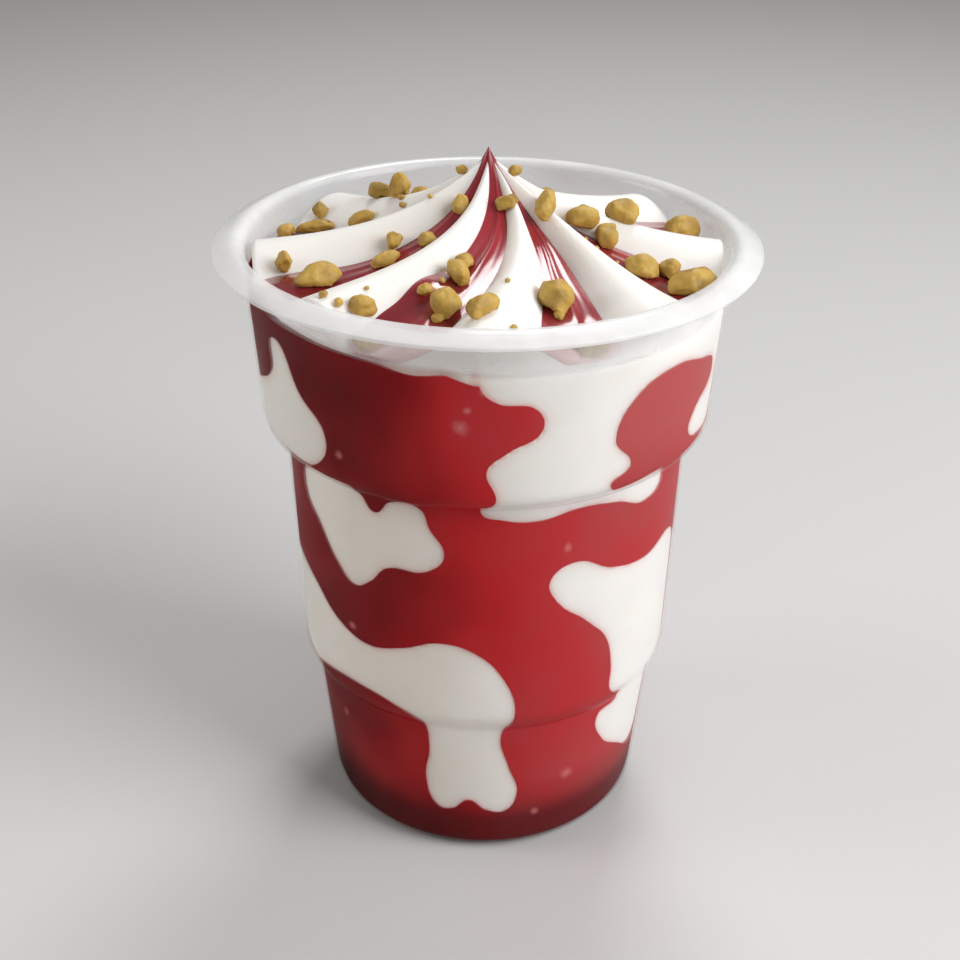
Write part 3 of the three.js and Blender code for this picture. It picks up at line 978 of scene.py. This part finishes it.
def soft_ice_cream():
    finish, tree, shader = new_finish("soft_ice_cream")
    places = object_places(tree)
    cream = colours(tree, noise(tree, places, 120, 4.0), (
        (0.3, (0.87, 0.845, 0.81)),
        (0.7, (0.90, 0.88, 0.855)),
    ))
    stain = colours(tree, attribute(tree, "shore", "Fac"), (
        (0.0, (0.86, 0.55, 0.53)),
        (0.4, (0.98, 0.93, 0.92)),
        (1.0, (1.0, 1.0, 1.0)),
    ))
    # painted shade: the left of the ice cream behind the wall is tinted warmer where it lies in shade
    painted_warm_shade = colours(tree, change(tree, places, "X", 0.0, 1.0, WARM_SHADE_ACROSS), (
        (0.0, (1.0, 0.99, 0.97)),
        (0.4, (1.0, 0.95, 0.89)),
        (1.0, (1.0, 1.0, 1.0)),
    ))
    on_top = change(tree, places, "Z", 0.0, 1.0, (SHOULDER, SHOULDER + 1))
    on_side = calculated(tree, "SUBTRACT", 1.0, on_top)
    tinted = mixed(tree, "MULTIPLY", on_side, mixed(tree, "MULTIPLY", 1.0, cream, stain), painted_warm_shade)
    tree.links.new(tinted, shader.inputs["Base Color"])
    tree.links.new(spread(tree, noise(tree, places, 300), 0.32, 0.5), shader.inputs["Roughness"])
    shader.inputs["Specular IOR Level"].default_value = 0.2
    shader.inputs["Subsurface Weight"].default_value = 0.4
    shader.inputs["Subsurface Radius"].default_value = (1.0, 0.75, 0.5)
    shader.inputs["Subsurface Scale"].default_value = 3 * MM
    streaks = noise(tree, attribute(tree, "swirl", "Vector"), 20, 3.0)
    relief(tree, shader, calculated(tree, "MULTIPLY", streaks, on_top), 0.07)
    return finish


finish_piece(ice_cream, soft_ice_cream(), ["ice_cream"])

# %% [markdown]
# ## Strawberry sauce
# The sauce is a deep, slightly brownish red. Inside the wall it is painted dark on the left, as shade, and
# lighter to the right, as light, with a slow noise of its own between. The leaf at the upper right is
# washed pale by a painted reflection, and the pool at the foot is darkest by painted shade. Against the
# plastic the sauce has no surface of its own to shine, so it has no gloss there, but a few pale painted
# glints show on it. On top it shines wet, rippled along its flow, and is painted a paler pink by the wall,
# as painted light on the ends that lie in the collar's shade.

# %% Finish the sauce inside the wall
# across which the sauce is painted from shaded on the left to lit on the right
SHADED_TO_LIT = (-36, 36)
POOL_SHADE = (8, 18)
# where a painted reflection washes the leaf at the upper right pale
SHEEN_ACROSS = (6, 24)
SHEEN_UP = (80, 90)
PAINTED_SHEEN_COLOUR = (0.47, 0.088, 0.088)
# angle, height and size of each painted glint
PAINTED_GLINTS = (
    (-5.6, 95.8, 1.6), (-4.1, 98.9, 0.8), (-36.5, 86.5, 1.0), (-41.8, 49.2, 1.0), (-54.6, 24.5, 1.0),
    (29.9, 17.0, 1.7), (18.7, 9.2, 1.1), (22.9, 69.7, 1.1), (-0.7, 102.1, 0.8),
)
GLINT_COLOUR = (0.60, 0.17, 0.17)


def wall_radius(height):
    """Radius of the sauce's skin at a height."""
    return between(sauce_skin, POOL_TOP, height)[-1].x


def glint_share(tree, places):
    """1 in the middle of a painted glint, 0 away from all of them. A noise frays their edges."""
    frayed = spread(tree, noise(tree, places, 700, 2.0), 0.5, 1.5)
    share = None
    for angle, height, size in PAINTED_GLINTS:
        gap = tree.nodes.new("ShaderNodeVectorMath")
        gap.operation = "DISTANCE"
        tree.links.new(places, gap.inputs[0])
        gap.inputs[1].default_value = on_swirl(wall_radius(height), angle, height)
        away = calculated(tree, "MULTIPLY", gap.outputs["Value"], frayed)
        glint = spread(tree, calculated(tree, "DIVIDE", away, size * MM), 1.0, 0.0)
        share = glint if share is None else calculated(tree, "MAXIMUM", share, glint)
    return share


def sauce_on_wall():
    finish, tree, shader = new_finish("sauce_on_wall")
    places = object_places(tree)
    uneven = spread(tree, noise(tree, places, 45, 2.0), -0.35, 0.35)
    # painted shade on the left and painted light on the right, with a noise for the sauce's own uneven
    # tone
    light_and_unevenness = calculated(tree, "ADD", change(tree, places, "X", 0.0, 1.0, SHADED_TO_LIT), uneven)
    red = colours(tree, light_and_unevenness, (
        (0.0, (0.13, 0.003, 0.005)),
        (0.2, (0.24, 0.005, 0.008)),
        (0.45, (0.50, 0.017, 0.021)),
        (0.7, (0.48, 0.034, 0.040)),
        (1.0, (0.42, 0.062, 0.064)),
    ))
    # painted shade, darkest in the pool at the foot
    painted_pool_shade = colours(tree, change(tree, places, "Z", 0.0, 1.0, POOL_SHADE), (
        (0.0, (0.30, 0.29, 0.32)),
        (0.5, (0.78, 0.78, 0.78)),
        (1.0, (1.0, 1.0, 1.0)),
    ))
    # painted reflection: the leaf at the upper right is washed pale
    sheen_share = calculated(
        tree, "MULTIPLY",
        change(tree, places, "X", 0.0, 1.0, SHEEN_ACROSS),
        change(tree, places, "Z", 0.0, 1.0, SHEEN_UP),
    )
    sheened = mixed(tree, "MIX", sheen_share, red, PAINTED_SHEEN_COLOUR)
    shaded = mixed(tree, "MULTIPLY", 1.0, sheened, painted_pool_shade)
    # painted highlights: a few pale glints on the sauce
    glinted = mixed(tree, "MIX", glint_share(tree, places), shaded, GLINT_COLOUR)
    tree.links.new(glinted, shader.inputs["Base Color"])
    shader.inputs["Roughness"].default_value = 0.4
    shader.inputs["Specular IOR Level"].default_value = 0.0
    relief(tree, shader, noise(tree, places, 150, 2.0), 0.1)
    return finish


# %% Finish the sauce on top
WET_GLOSS = 0.4
RIPPLE_DEPTH = 0.6
RIPPLE_GROWTH = 1.3
# between these distances from the axis the ribbons' ends are painted paler pink, as light where the collar
# shades them
PALE_END_FROM = 38.5
PALE_END_TO = 39.8
PAINTED_LIGHT_PINK = (0.80, 0.50, 0.50)


def from_axis(tree, places):
    flat = tree.nodes.new("ShaderNodeVectorMath")
    flat.operation = "MULTIPLY"
    flat.inputs[1].default_value = (1, 1, 0)
    tree.links.new(places, flat.inputs[0])
    length = tree.nodes.new("ShaderNodeVectorMath")
    length.operation = "LENGTH"
    tree.links.new(flat.outputs["Vector"], length.inputs[0])
    return length.outputs["Value"]


def wet_sauce():
    finish, tree, shader = new_finish("wet_sauce")
    places = object_places(tree)
    red = colours(tree, noise(tree, places, 45, 2.0), (
        (0.32, (0.20, 0.015, 0.022)),
        (0.68, (0.34, 0.029, 0.039)),
    ))
    # painted light: the ribbons' ends by the wall turn paler pink
    painted_light_share = spread(tree, from_axis(tree, places), 0.0, 1.0, PALE_END_FROM * MM, PALE_END_TO * MM)
    tree.links.new(mixed(tree, "MIX", painted_light_share, red, PAINTED_LIGHT_PINK), shader.inputs["Base Color"])
    tree.links.new(spread(tree, noise(tree, places, 200), 0.16, 0.28), shader.inputs["Roughness"])
    shader.inputs["Specular IOR Level"].default_value = WET_GLOSS
    shader.inputs["Coat Weight"].default_value = WET_GLOSS
    shader.inputs["Coat Roughness"].default_value = 0.10
    flow = attribute(tree, "flow", "Vector")
    growing = spread(tree, along(tree, flow, "Y"), 0.0, RIPPLE_GROWTH, 0.0, FLOW_DOWN)
    ripples = calculated(tree, "MULTIPLY", noise(tree, flow, 1.0, 1.0), growing)
    relief(tree, shader, ripples, RIPPLE_DEPTH)
    return finish


wall_red = sauce_on_wall()
wet_red = wet_sauce()
finish_piece(side_sauce, wall_red, ["sauce_side"], sharp_from=35)
finish_piece(top_sauce, wet_red, ["sauce_top"])

# %% [markdown]
# ## Roasted nuts
# Chopped roasted nuts are golden with browner skin and paler breaks. One noise mixes the three colours,
# another varies the gloss, and a fine bump makes the breaks dull.

# %% Finish nuts and crumbs


def roasted_nut():
    finish, tree, shader = new_finish("roasted_nut")
    places = object_places(tree)
    gold = colours(tree, noise(tree, places, 320, 4.0), (
        (0.25, (0.28, 0.160, 0.023)),
        (0.5, (0.48, 0.297, 0.053)),
        (0.75, (0.62, 0.415, 0.102)),
    ))
    tree.links.new(gold, shader.inputs["Base Color"])
    tree.links.new(spread(tree, noise(tree, places, 500), 0.45, 0.65), shader.inputs["Roughness"])
    relief(tree, shader, noise(tree, places, 1600, 3.0), 0.12)
    return finish


golden = roasted_nut()
finish_piece(nuts, golden, nut_names)
finish_piece(crumbs, golden, [])

# %% [markdown]
# ## Studio
# The sundae stands on a plain pale floor. A large soft light from the upper right is the key, a weak one
# on the left opens the shade, a third one above and behind shines in the wet sauce, and a pale sky fills
# the rest.

# %% Floor
FLOOR_SIDE = 6

start_fresh()
bpy.ops.mesh.primitive_plane_add(size=FLOOR_SIDE)
floor = bpy.context.object
floor.name = "studio_floor"
pale, _, pale_shader = new_finish("pale_floor")
pale_shader.inputs["Base Color"].default_value = (0.6, 0.6, 0.6, 1)
pale_shader.inputs["Roughness"].default_value = 0.8
floor.data.materials.append(pale)
print("floor, m:", FLOOR_SIDE)

# %% Light and sky
LIGHT_AIM = Vector((0, 0, 70 * MM))


def soft_light(name, place, size, watts, colour=(1, 1, 1)):
    bpy.ops.object.light_add(type="AREA", location=place)
    light = bpy.context.object
    light.name = name
    light.data.size = size
    light.data.energy = watts
    light.data.color = colour
    aim = LIGHT_AIM - Vector(place)
    light.rotation_euler = aim.to_track_quat("-Z", "Y").to_euler()


soft_light("key", (0.555, -0.32, 0.5), 0.5, 6.1)
soft_light("fill", (-0.65, -0.06, 0.3), 0.3, 1.6, (1.0, 0.97, 0.94))
soft_light("top", (0.11, 0.42, 0.75), 0.24, 2.7)
sky = bpy.data.worlds.new("pale_sky")
sky.use_nodes = True
backdrop = next(node for node in sky.node_tree.nodes if node.type == "BACKGROUND")
backdrop.inputs["Color"].default_value = (1.0, 0.96, 0.90, 1)
backdrop.inputs["Strength"].default_value = 0.2
bpy.context.scene.world = sky
bpy.context.scene.view_settings.view_transform = "Standard"
print("studio lights: key, fill, top")

# %% [markdown]
# ## Camera
# The photo looks down on the rim by about thirty degrees from close by. The values were fitted to the
# rim's ellipse and the wall's outline.

# %% Camera
ELEVATION = math.radians(29.62)
DISTANCE = 296.8 * MM
AIM = Vector((0, 0, 57 * MM))
ROLL = math.radians(0.5)
LENS = 58.5
IMAGE_SIDE = 960
AXIS_PIXEL = (485.35, 515.66)

bpy.ops.object.camera_add()
camera = bpy.context.object
camera.location = AIM + Vector((0, -math.cos(ELEVATION), math.sin(ELEVATION))) * DISTANCE
look = (AIM - camera.location).to_track_quat("-Z", "Y").to_euler()
camera.rotation_euler = look
camera.rotation_euler.rotate_axis("Z", ROLL)
camera.data.lens = LENS
camera.data.shift_x = (IMAGE_SIDE / 2 - AXIS_PIXEL[0]) / IMAGE_SIDE
camera.data.shift_y = (AXIS_PIXEL[1] - IMAGE_SIDE / 2) / IMAGE_SIDE
camera.data.clip_start = 0.01
bpy.context.scene.camera = camera
print("camera at, mm:", [round(v / MM, 1) for v in camera.location])
